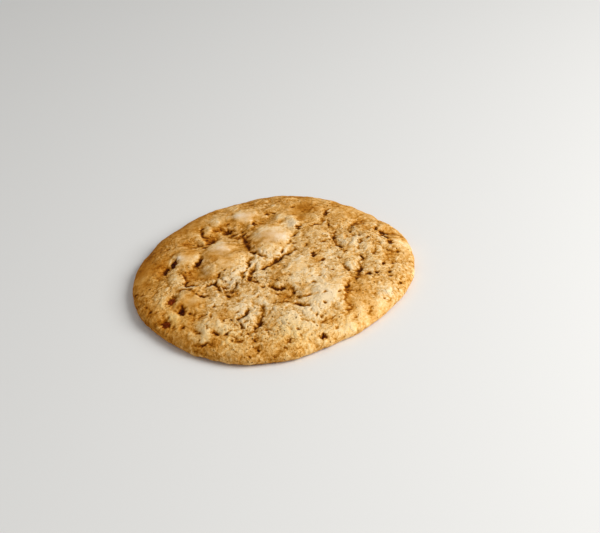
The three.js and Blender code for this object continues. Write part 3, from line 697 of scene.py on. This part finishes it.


# How brown each place is: rises towards the edge, most of all at the left, plus the brown places, which are
# partly painted shade, and soft blotches in two sizes.
def browningAndShade(points, y, share):
    x = points[:, 0]
    values, seeds = crustShape["browningAndShade"], crustShape["seeds"]["blotches"]
    blotches = values["blotches"]
    left = sidedness(x, y, values["leftTurn"], values["edgeMean"])
    edge = values["edge"] * left * smoothStep(values["edgeFrom"], 1.0, share)
    broad, fine = (softNoise(points, size, seed) for size, seed in zip(blotches["sizes"], seeds))
    uneven = blotches["strength"] * (broad + blotches["finer"] * fine)
    return np.clip(values["plain"] + edge + sumOfBells(x, y, brownAndShadedPlaces) + uneven, 0, values["most"])


# Each value taken towards the mean of its neighbours' along the edges, over and over.
def averaged(values, edges, times):
    links = np.concatenate([edges, edges[:, ::-1]])
    count = np.bincount(links[:, 0], minlength=len(values))
    pull = 0.65
    for _ in range(times):
        around = np.bincount(links[:, 0], weights=values[links[:, 1]], minlength=len(values)) / count
        values = (1 - pull) * values + pull * around
    return values


# Puts points (mm) and faces into a new smooth-shaded object at the origin.
def newPiece(name, points, faces):
    mesh = bpy.data.meshes.new(name)
    mesh.vertices.add(len(points))
    mesh.vertices.foreach_set("co", (np.asarray(points) * metresPerMm).ravel())
    mesh.loops.add(faces.size)
    mesh.loops.foreach_set("vertex_index", faces.ravel())
    mesh.polygons.add(len(faces))
    mesh.polygons.foreach_set("loop_start", np.arange(0, faces.size, faces.shape[1]))
    mesh.polygons.foreach_set("use_smooth", np.ones(len(faces), dtype=bool))
    mesh.update(calc_edges=True)
    mesh.validate()
    piece = bpy.data.objects.new(name, mesh)
    bpy.context.scene.collection.objects.link(piece)
    return piece


# One number for each point, under a name that the material reads.
def storeOnPoints(piece, name, values):
    layer = piece.data.attributes.new(name, "FLOAT", "POINT")
    layer.data.foreach_set("value", values.astype(np.float32))


# Points of the plain crust, their outward directions and their share of the outline's radius. The disc of
# rings is bent down over the rim to the foot; a second, coarser disc closes the underside.
def plainCrust():
    rings = crustShape["rings"]
    share, inset, height, outwards, upwards = crustSection()
    ring, angle = ringPlaces(rings)
    outline = outlineRadius(angle)
    radius = share[ring] * outline - inset[ring]
    top = np.stack([radius * np.cos(angle), radius * np.sin(angle), height[ring]], axis=1)
    facing = np.stack([outwards[ring] * np.cos(angle), outwards[ring] * np.sin(angle), upwards[ring]], axis=1)
    footRings = rings // 2
    footRing, footAngle = ringPlaces(footRings)
    stripWidth = 0.7  # of a ring, between the two discs
    footRadius = (outlineRadius(footAngle) - crustShape["footInset"]) * footRing / (footRings + stripWidth)
    foot = np.stack([footRadius * np.cos(footAngle), footRadius * np.sin(footAngle), 0 * footRadius], axis=1)
    down = np.tile([0.0, 0.0, -1.0], (len(foot), 1))
    inShare = np.minimum(radius / outline, 1)
    footShare = footRadius / outlineRadius(footAngle)
    onFoot = np.concatenate([np.zeros(len(top), dtype=bool), np.ones(len(foot), dtype=bool)])
    return (
        np.concatenate([top, foot]),
        np.concatenate([facing, down]),
        np.concatenate([inShare, footShare]),
        onFoot,
    )


# Triangles of the crust: the bent disc, the turned-over foot disc, and a strip that joins the rim's 6k
# points to the foot's 3k.
def crustTriangles():
    rings = crustShape["rings"]
    footRings = rings // 2
    bent = ringTriangles(rings)
    footStart = 1 + 3 * rings * (rings + 1)
    foot = ringTriangles(footRings)[:, ::-1] + footStart
    rim = 1 + 3 * rings * (rings - 1)
    inner = footStart + 1 + 3 * footRings * (footRings - 1)
    i = np.arange(3 * rings)
    first = rim + 2 * i
    second = first + 1
    third = rim + (2 * i + 2) % (6 * rings)
    here = inner + i
    following = inner + (i + 1) % (3 * rings)
    strip = np.concatenate([
        np.stack([first, here, second], axis=1),
        np.stack([second, here, following], axis=1),
        np.stack([second, following, third], axis=1),
    ])
    return np.concatenate([bent, foot, strip])


# Lays the crust out flat for other programs: each ring of the top and rim is a ring of one disc, and the
# underside is a smaller disc, turned over.
def storeMap(piece, triangles):
    rings = crustShape["rings"]
    ring, angle = ringPlaces(rings)
    footRing, footAngle = ringPlaces(rings // 2)
    turn = np.concatenate([angle, footAngle])
    way = np.stack([np.cos(turn), np.sin(turn)], axis=1)
    topShare = np.concatenate([ring / (rings + 1), np.ones(len(footRing))])
    underShare = np.concatenate([0 * ring, footRing / (rings // 2)])
    top, under = crustShape["map"]["top"], crustShape["map"]["underside"]
    topPlaces = top["middle"] + top["radius"] * topShare[:, None] * way
    underPlaces = under["middle"] + under["radius"] * underShare[:, None] * way * (1, -1)
    onFoot = (triangles >= len(ring)).all(axis=1)[:, None, None]
    places = np.where(onFoot, underPlaces[triangles], topPlaces[triangles])
    layer = piece.data.uv_layers.new(name="OFBake")
    layer.uv.foreach_set("vector", places.astype(np.float32).ravel())


# How hollow each point is, for the painted shade in hollows: middleLevel on even crust, plus strength (mean
# height round about - height), once for a little way round and once for further round.
def hollowShade(piece, height):
    edges = np.zeros(2 * len(piece.data.edges), dtype=np.int64)
    piece.data.edges.foreach_get("vertices", edges)
    edges = edges.reshape(-1, 2)
    hollow = middleLevel
    for times, strength in crustShape["hollows"]:
        hollow = hollow + strength * (averaged(height, edges, times) - height)
    return np.clip(hollow, 0, 1)


# The crust: each point of the plain crust moved outwards by lumps + steps + crumb - valleys - the deeper of
# cracks and pits - openings. All but the crumb fade out at the rim and under it. Also gives the upper
# points as they are before the openings are cut.
def makeCrust():
    points, facing, share, onFoot = plainCrust()
    triangles = crustTriangles()
    shape, seeds = crustShape, crustShape["seeds"]
    plainX, plainY, up = points[:, 0], points[:, 1], facing[:, 2]
    # x and y that marks are looked up at stray in coarse bends, and in fine ones on top of those
    bends, strays = [], []
    coarseSize, fineSize = shape["raggedSizes"]
    for coarseSeed, fineSeed in seeds["ragged"].values():
        bends.append(shape["ragged"] * softNoise(points, coarseSize, coarseSeed))
        strays.append(bends[-1] + shape["ragged"] * softNoise(points, fineSize, fineSeed))
    onTop = smoothStep(*shape["topSlope"], up)
    inside = 1 - share ** shape["lumpFade"]
    lumpBend = shape["raggedLumps"]
    lumps = lumpRelief(plainX + lumpBend * bends[0], plainY + lumpBend * bends[1]) * inside
    marksY = plainY + shape["markLean"] * lumps
    x = plainX + strays[0]
    y = marksY + strays[1]
    crumbly = crumbliness(plainX, marksY, share)
    coarse = sumOfBells(plainX, marksY, coarsePlaces) * ~onFoot
    crumb = roughRelief(points, crumbly, coarse)
    cracks, valleys, crackShade = crackRelief(x, y)
    pits, pitShade = pitRelief(x, y)
    openings, openingShade = openingRelief(x, plainY + strays[1])
    # cracks come and go along their lines
    broken = shape["broken"]
    left = broken["middle"] + broken["spread"] * softNoise(points, broken["size"], seeds["broken"])
    left = np.clip(left, *broken["range"])
    crackShade = crackShade * np.clip(left, *shape["brokenShade"])
    height = onTop * (lumps + stepRelief(x, y) * inside - valleys - np.maximum(cracks * left, pits))
    height += crumb * (shape["rimCrumb"] + (1 - shape["rimCrumb"]) * onTop)
    foot = shape["footCrumb"] * np.minimum(crumb, 0) * smoothStep(*shape["footSlope"], -up)
    height = np.where(onFoot, foot, height)
    closed = points + facing * height[:, None]
    height = height - np.where(onFoot, 0, onTop * openings)
    moved = points + facing * height[:, None]
    moved[:, 2] = np.maximum(moved[:, 2], 0)
    piece = newPiece("cookieCrust", moved, triangles)
    storeMap(piece, triangles)
    footBrown = shape["browningAndShade"]["foot"] * smoothStep(*shape["footBrownSlope"], -up)
    # browning, partly painted shade
    storeOnPoints(piece, "browningAndShade", np.maximum(footBrown, browningAndShade(points, marksY, share) * ~onFoot))
    # paleness: paler crust and painted light
    # warmth: painted warm bounce light
    for name, places in (("palenessAndLight", paleAndLitPlaces), ("warmth", bounceLightPlaces)):
        storeOnPoints(piece, name, np.clip(sumOfBells(plainX, marksY, places), 0, 1) * ~onFoot)
    # painted shade in hollows, which the material reads
    storeOnPoints(piece, "hollowShade", hollowShade(piece, height))
    storeOnPoints(piece, "crumbly", crumbly + shape["crumbly"]["coarse"] * coarse)
    # painted shade in and round cracks, pits and the openings over raisins
    storeOnPoints(piece, "recessShade", onTop * np.max([crackShade, pitShade, openingShade], axis=0))
    return piece, closed[up > shape["upperSlope"]]


# An empty Principled material: its nodes, its links and its shader.
def newMaterial(name):
    material = bpy.data.materials.new(name)
    material.use_nodes = True
    nodes = material.node_tree.nodes
    nodes.clear()
    output = nodes.new("ShaderNodeOutputMaterial")
    shader = nodes.new("ShaderNodeBsdfPrincipled")
    material.node_tree.links.new(shader.outputs["BSDF"], output.inputs["Surface"])
    return material, nodes, material.node_tree.links, shader


# A new node with its settings and the values of its inputs.
def addNode(nodes, kind, settings=None, values=None):
    node = nodes.new(kind)
    for key, value in (settings or {}).items():
        setattr(node, key, value)
    for key, value in (values or {}).items():
        node.inputs[key].default_value = value
    return node


# Gives an input a number, or links it to the socket that works one out.
def feed(links, socket, value):
    if isinstance(value, (int, float)):
        socket.default_value = value
    else:
        links.new(value, socket)


# Ways to add nodes to one material: a sum, product or other step of mathematics on two sockets or numbers,
# (socket - middle) factor, noise of a given size in millimetres on Object coordinates, and a stored value.
def nodeTools(nodes, links):
    place = addNode(nodes, "ShaderNodeTexCoord").outputs["Object"]

    def worked(operation, first, second):
        node = addNode(nodes, "ShaderNodeMath", {"operation": operation})
        feed(links, node.inputs[0], first)
        feed(links, node.inputs[1], second)
        return node.outputs[0]

    def scaled(socket, middle, factor):
        return worked("MULTIPLY", worked("SUBTRACT", socket, middle), factor)

    def noise(size, detail=3.0, roughness=0.55, output="Fac"):
        values = {"Scale": 1 / (size * metresPerMm), "Detail": detail, "Roughness": roughness}
        node = addNode(nodes, "ShaderNodeTexNoise", {}, values)
        links.new(place, node.inputs["Vector"])
        return node.outputs[output]

    def stored(name):
        return addNode(nodes, "ShaderNodeAttribute", {"attribute_name": name}).outputs["Fac"]

    return place, worked, scaled, noise, stored


# A colour as seen on screen, 0 to 255, as the linear light that shaders use, by the usual screen curve.
def lightOf(red, green, blue):
    shown = np.array([red, green, blue]) / 255
    linear = np.where(shown <= 0.04045, shown / 12.92, ((shown + 0.055) / 1.055) ** 2.4)
    return (*linear.tolist(), 1.0)


# Puts stops of place and colour into a colour ramp.
def fillRamp(ramp, stops):
    while len(ramp.elements) > 1:
        ramp.elements.remove(ramp.elements[-1])
    ramp.elements[0].position = stops[0][0]
    ramp.elements[0].color = lightOf(*stops[0][1])
    for position, colour in stops[1:]:
        ramp.elements.new(position).color = lightOf(*colour)


# A node that mixes two colours, and its sockets: share, first and second colour, result.
def colourMix(nodes, settings):
    node = addNode(nodes, "ShaderNodeMix", {"data_type": "RGBA", **settings})
    share, first, second, result = 0, 6, 7, 2  # where a mix of colours has them
    return node.inputs[share], node.inputs[first], node.inputs[second], node.outputs[result]


# Fine relief seen in the shading only: a height from 0 to 1 times the given metres.
def addBump(nodes, links, shader, height, metres):
    bump = addNode(nodes, "ShaderNodeBump", {}, {"Strength": 1.0, "Distance": metres})
    links.new(height, bump.inputs["Height"])
    links.new(bump.outputs["Normal"], shader.inputs["Normal"])


crustColours = {
    "tones": (
        (0.0, (255, 226, 180)),
        (0.15, (250, 211, 151)),
        (0.3, (236, 187, 117)),
        (0.45, (214, 156, 75)),
        (0.6, (189, 126, 38)),
        (0.75, (160, 96, 14)),
        (0.88, (126, 66, 5)),
        (1.0, (84, 38, 2)),
    ),
    "middle": 0.3,  # tone of plain crust
    "hollows": 1.15,  # how much darker hollows are painted, as shade
    "skin": 0.13,  # how much darker smooth skin is than crumbly crust
    "skinTint": (0.92, 1.0, 1.4),  # and its colour, as a share of the crumbly crust's
    "skinFrom": 1.6,  # the tint is 1 - this much times how crumbly the crust is
    "brownedAndShaded": 0.28,  # how much darker browned places and painted shade are
    "brownAndShadeTint": (0.99, 0.87, 0.62),  # and their colour, as a share of the plain crust's
    "bounceLightTint": (1.0, 0.93, 0.68),  # colour of the painted warm bounce light, as a share of the plain crust's
    "paledAndLit": 0.42,  # how much lighter pale places are, painted light among them
    "shadeInRecesses": 0.42,  # how much darker the painted shade makes cracks, pits and raisin openings
    "blotches": ((8, 0.36), (4.2, 0.42), (1.9, 0.26)),  # mm: size and strength of uneven baking
    "specks": ((0.9, 0.55), (0.45, 0.5)),  # mm: size and strength where the crust is crumbly
    "bends": (1.5, 4.0, 0.7),  # mm, detail and roughness of what bends pinholes and fine cracks
    "bendStrength": 0.0014,  # m
    "pinholes": {
        "apart": 1.25,  # mm
        "missing": 0.35,  # share of the cells that have none
        "growth": 0.675,  # mm of radius for each 1 that a cell's number is over that
        "least": 0.02,  # radius, in cells, of the smallest
        "tone": 0.6,  # how much darker they are painted, as shade in the holes
        "depth": 0.9,  # share of the bump's height
    },
    "fineCracks": {
        "apart": 2.1,  # mm
        "width": 0.2,  # mm
        "gaps": (3.5, 0.38, 0.5),  # mm, and the noise between which they fade out
        # how much darker fine cracks are painted, as shade in them
        "tone": 0.2,
        "depth": 0.15,
    },
    "core": 0.2,  # share of a pinhole or fine crack that is as dark as it gets
    "grain": (1.3, 5.0, 0.75),  # mm, detail and roughness
    "smoothGrain": 0.08,  # share of the grain on smooth skin
    "bumpHeight": 0.0007,  # m
    "roughness": 0.82,
    "specular": 0.06,
}


# Tone = middle + painted shade in hollows + browning and painted shade + painted shade in cracks, pits and
# raisin openings - paleness and painted light - skin + blotches + specks + pinholes and fine cracks, both
# painted darker as shade, read off a row of colours from pale to dark, then tinted where it is browned or
# painted in shade, where warm bounce light is painted, and where it is smooth.
def crustMaterial():
    material, nodes, links, shader = newMaterial("bakedCrust")
    look = crustColours
    place, worked, scaled, noise, stored = nodeTools(nodes, links)

    # round or bordered cells that lie the given mm apart
    def cells(feature, apart):
        scale = {"Scale": 1 / (apart * metresPerMm)}
        node = addNode(nodes, "ShaderNodeTexVoronoi", {"feature": feature}, scale)
        links.new(bent, node.inputs["Vector"])
        return node

    # 1 where the value is below low, 0 where it is above high
    def below(value, low, high):
        settings = {"interpolation_type": "SMOOTHSTEP"}
        node = addNode(nodes, "ShaderNodeMapRange", settings, {"To Min": 1.0, "To Max": 0.0})
        feed(links, node.inputs["Value"], value)
        feed(links, node.inputs["From Min"], low)
        feed(links, node.inputs["From Max"], high)
        return node.outputs["Result"]

    crumbly = stored("crumbly")
    brownedAndShaded = stored("browningAndShade")

    # pinholes and fine cracks are looked up at places that noise bends
    bend = addNode(nodes, "ShaderNodeVectorMath", {"operation": "MULTIPLY_ADD"})
    links.new(noise(*look["bends"], "Color"), bend.inputs[0])
    bend.inputs[1].default_value = 3 * (look["bendStrength"],)
    links.new(place, bend.inputs[2])
    bent = bend.outputs[0]

    # each cell has a pinhole of its own size, and those with a low number have none
    holes = look["pinholes"]
    holeCells = cells("F1", holes["apart"])
    number = addNode(nodes, "ShaderNodeSeparateColor")
    links.new(holeCells.outputs["Color"], number.inputs["Color"])
    reach = scaled(number.outputs[0], holes["missing"], holes["growth"] / holes["apart"])
    holeMask = below(holeCells.outputs["Distance"], worked("MULTIPLY", reach, look["core"]), reach)
    holeMask = worked("MULTIPLY", holeMask, worked("GREATER_THAN", reach, holes["least"]))
    holeMask = worked("MULTIPLY", holeMask, crumbly)

    # fine cracks run along the cells' borders, with gaps
    lines = look["fineCracks"]
    reach = lines["width"] / lines["apart"]
    gapSize, gapFrom, gapTo = lines["gaps"]
    borders = cells("DISTANCE_TO_EDGE", lines["apart"]).outputs["Distance"]
    lineMask = below(borders, look["core"] * reach, reach)
    lineMask = worked("MULTIPLY", lineMask, below(noise(gapSize), gapFrom, gapTo))
    lineMask = worked("MULTIPLY", lineMask, crumbly)

    # painted shade: darker colour in hollows
    tone = worked("ADD", scaled(stored("hollowShade"), middleLevel, look["hollows"]), look["middle"])
    for share, strength in (
        # browning, and painted shade in hollows, at the back and on shaded slopes
        (brownedAndShaded, look["brownedAndShaded"]),
        # painted shade in cracks, pits and raisin openings
        (stored("recessShade"), look["shadeInRecesses"]),
        # paler crust and painted light at the front and on lit slopes
        (stored("palenessAndLight"), -look["paledAndLit"]),
        # pinholes and fine cracks painted darker, as shade in them
        (holeMask, holes["tone"]),
        (lineMask, lines["tone"]),
    ):
        tone = worked("ADD", tone, worked("MULTIPLY", share, strength))
    tone = worked("SUBTRACT", tone, scaled(crumbly, 1, look["skin"]))
    for size, strength in look["blotches"]:
        tone = worked("ADD", tone, scaled(noise(size), middleLevel, strength))
    for size, strength in look["specks"]:
        tone = worked("ADD", tone, worked("MULTIPLY", scaled(noise(size), middleLevel, strength), crumbly))
    ramp = addNode(nodes, "ShaderNodeValToRGB")
    fillRamp(ramp.color_ramp, look["tones"])
    links.new(tone, ramp.inputs["Fac"])
    colour = ramp.outputs["Color"]
    rest = worked("ADD", worked("MULTIPLY", crumbly, look["skinFrom"]), brownedAndShaded)
    for share, tint in (
        # browned places and painted shade
        (brownedAndShaded, look["brownAndShadeTint"]),
        # painted warm bounce light
        (stored("warmth"), look["bounceLightTint"]),
        (worked("SUBTRACT", 1.0, rest), look["skinTint"]),
    ):
        tintShare, plain, tintColour, tinted = colourMix(nodes, {"blend_type": "MULTIPLY"})
        links.new(share, tintShare)
        links.new(colour, plain)
        tintColour.default_value = (*tint, 1.0)
        colour = tinted
    links.new(colour, shader.inputs["Base Color"])
    shader.inputs["Roughness"].default_value = look["roughness"]
    shader.inputs["Specular IOR Level"].default_value = look["specular"]

    grain = worked("MULTIPLY", noise(*look["grain"]), worked("ADD", crumbly, look["smoothGrain"]))
    grain = worked("SUBTRACT", grain, worked("MULTIPLY", holeMask, holes["depth"]))
    grain = worked("SUBTRACT", grain, worked("MULTIPLY", lineMask, lines["depth"]))
    addBump(nodes, links, shader, grain, look["bumpHeight"])
    return material


crust, closedCrust = makeCrust()
crust.data.materials.append(crustMaterial())
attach(crust, "root")
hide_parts("cookie")
print("crust made:", len(crust.data.polygons), "triangles")


# Points of a raisin: an ellipsoid whose thickness is cut by folds, 1 - depth (1 - |sin(folds around / 2 +
# bends)|), with dimples of soft noise. Its top lies below the closed crust by the sunk depth.
def makeRaisin(name):
    shape = raisinShape
    middle, directions, reach = raisinAxes(name)
    rows = shape["rows"]
    columns = shape["columns"]
    seed = shape["firstSeed"] + seedStep * int(name[-1])
    dimpleSeed = seed + 3
    latitude, around = np.meshgrid(
        np.linspace(0, math.pi, rows), np.linspace(0, 2 * math.pi, columns, endpoint=False), indexing="ij"
    )
    latitude, around = latitude.ravel(), around.ravel()
    wide = np.sin(latitude)
    ball = np.stack([np.cos(latitude), wide * np.cos(around), wide * np.sin(around)], axis=1)
    swaySize, sway = shape["foldSway"]
    bends = sway * softNoise(ball + seed, swaySize, seed) + shape["foldTwist"] * ball[:, 0]
    fold = 1 - np.abs(np.sin(shape["folds"] / 2 * around + bends))
    dimpleSize, dimpleDepth = shape["dimples"]
    dimples = dimpleDepth * softNoise(ball + seed, dimpleSize, dimpleSeed)
    thick = 1 - shape["foldDepth"] * fold * wide + dimples
    turned = (ball * thick[:, None] * reach * shape["shrunk"]) @ directions
    near = np.hypot(closedCrust[:, 0] - middle[0], closedCrust[:, 1] - middle[1]) < shape["overhead"]
    top = closedCrust[near, 2].mean() - raisinLooks[name]["sunk"]
    points = turned + np.array([middle[0], middle[1], top - turned[:, 2].max()])
    grid = np.arange(rows * columns).reshape(rows, columns)
    right = np.roll(grid, -1, axis=1)
    quads = np.stack([grid[1:-2], grid[2:-1], right[2:-1], right[1:-2]], axis=-1).reshape(-1, 4)
    startCap = np.stack([np.full(columns, grid[0, 0]), grid[1], right[1]], axis=1)
    endCap = np.stack([np.full(columns, grid[-1, 0]), right[-2], grid[-2]], axis=1)
    triangles = np.concatenate([quads[:, [0, 1, 2]], quads[:, [0, 2, 3]], startCap, endCap])
    used, triangles = np.unique(triangles, return_inverse=True)
    piece = newPiece(name.replace("_", "Skin"), points[used], triangles.reshape(-1, 3))
    storeOnPoints(piece, "fold", fold[used])
    storeOnPoints(piece, "tone", np.full(len(used), raisinLooks[name]["tone"]))
    return piece


raisinColours = {
    "dark": (50, 12, 0),
    "warm": (142, 54, 0),
    "mottle": (1.4, 2.2),  # mm, and strength
    "folds": 0.5,  # how much darker the folds are painted, as shade in them
    "meanFold": 0.36,  # how folded the skin is on average
    "wrinkles": (0.9, 0.0004),  # mm, and height in m
    "roughness": 0.6,
    "specular": 0.06,
}


# Colour from dark to warm by the raisin's tone + mottling + painted shade, lighter on ridges and darker in
# folds, with fine wrinkles as bump.
def raisinMaterial():
    material, nodes, links, shader = newMaterial("raisinSkin")
    look = raisinColours
    _, worked, scaled, noise, stored = nodeTools(nodes, links)
    mottleSize, mottleStrength = look["mottle"]
    mottled = worked("ADD", stored("tone"), scaled(noise(mottleSize), middleLevel, mottleStrength))
    # painted shade: lighter on the ridges, darker in the folds
    foldShade = worked("MULTIPLY", worked("SUBTRACT", look["meanFold"], stored("fold")), look["folds"])
    warmth, dark, warm, mixed = colourMix(nodes, {"clamp_factor": True})
    links.new(worked("ADD", mottled, foldShade), warmth)
    dark.default_value = lightOf(*look["dark"])
    warm.default_value = lightOf(*look["warm"])
    links.new(mixed, shader.inputs["Base Color"])
    shader.inputs["Roughness"].default_value = look["roughness"]
    shader.inputs["Specular IOR Level"].default_value = look["specular"]
    wrinkleSize, wrinkleHeight = look["wrinkles"]
    addBump(nodes, links, shader, noise(wrinkleSize), wrinkleHeight)
    return material


skin = raisinMaterial()
for raisinName in raisinLooks:
    raisin = makeRaisin(raisinName)
    raisin.data.materials.append(skin)
    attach(raisin, "root")
    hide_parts(raisinName)
print("raisins made")


stageLook = {
    "floorColour": (232, 231, 228),
    "floorSize": 4.0,  # m
    "floorRoughness": 0.9,
    "floorSpecular": 0.1,
    "sky": 0.38,
    "keyFrom": (0.7, -0.24, 0.52),  # m
    "keySize": 0.55,  # m
    "keyPower": 8.7,  # W
}


# A square at the height of the underside.
def makeFloor():
    half = stageLook["floorSize"] / 2 / metresPerMm
    corners = np.array([(-half, -half, 0), (half, -half, 0), (half, half, 0), (-half, half, 0)], dtype=float)
    floor = newPiece("floor", corners, np.array([[0, 1, 2, 3]]))
    material, _, _, shader = newMaterial("paleFloor")
    shader.inputs["Base Color"].default_value = lightOf(*stageLook["floorColour"])
    shader.inputs["Roughness"].default_value = stageLook["floorRoughness"]
    shader.inputs["Specular IOR Level"].default_value = stageLook["floorSpecular"]
    floor.data.materials.append(material)


# An even white sky and one soft window that faces the cookie.
def makeLights():
    world = bpy.data.worlds.new("softRoom")
    world.use_nodes = True
    background = world.node_tree.nodes["Background"]
    background.inputs["Color"].default_value = (1.0, 1.0, 1.0, 1.0)
    background.inputs["Strength"].default_value = stageLook["sky"]
    bpy.context.scene.world = world
    data = bpy.data.lights.new("window", "AREA")
    data.shape = "SQUARE"
    data.size = stageLook["keySize"]
    data.energy = stageLook["keyPower"]
    window = bpy.data.objects.new("window", data)
    window.location = stageLook["keyFrom"]
    window.rotation_euler = Vector(stageLook["keyFrom"]).to_track_quat("Z", "Y").to_euler()
    bpy.context.scene.collection.objects.link(window)


makeFloor()
makeLights()
bpy.context.scene.view_settings.view_transform = "Standard"
print("stage set")
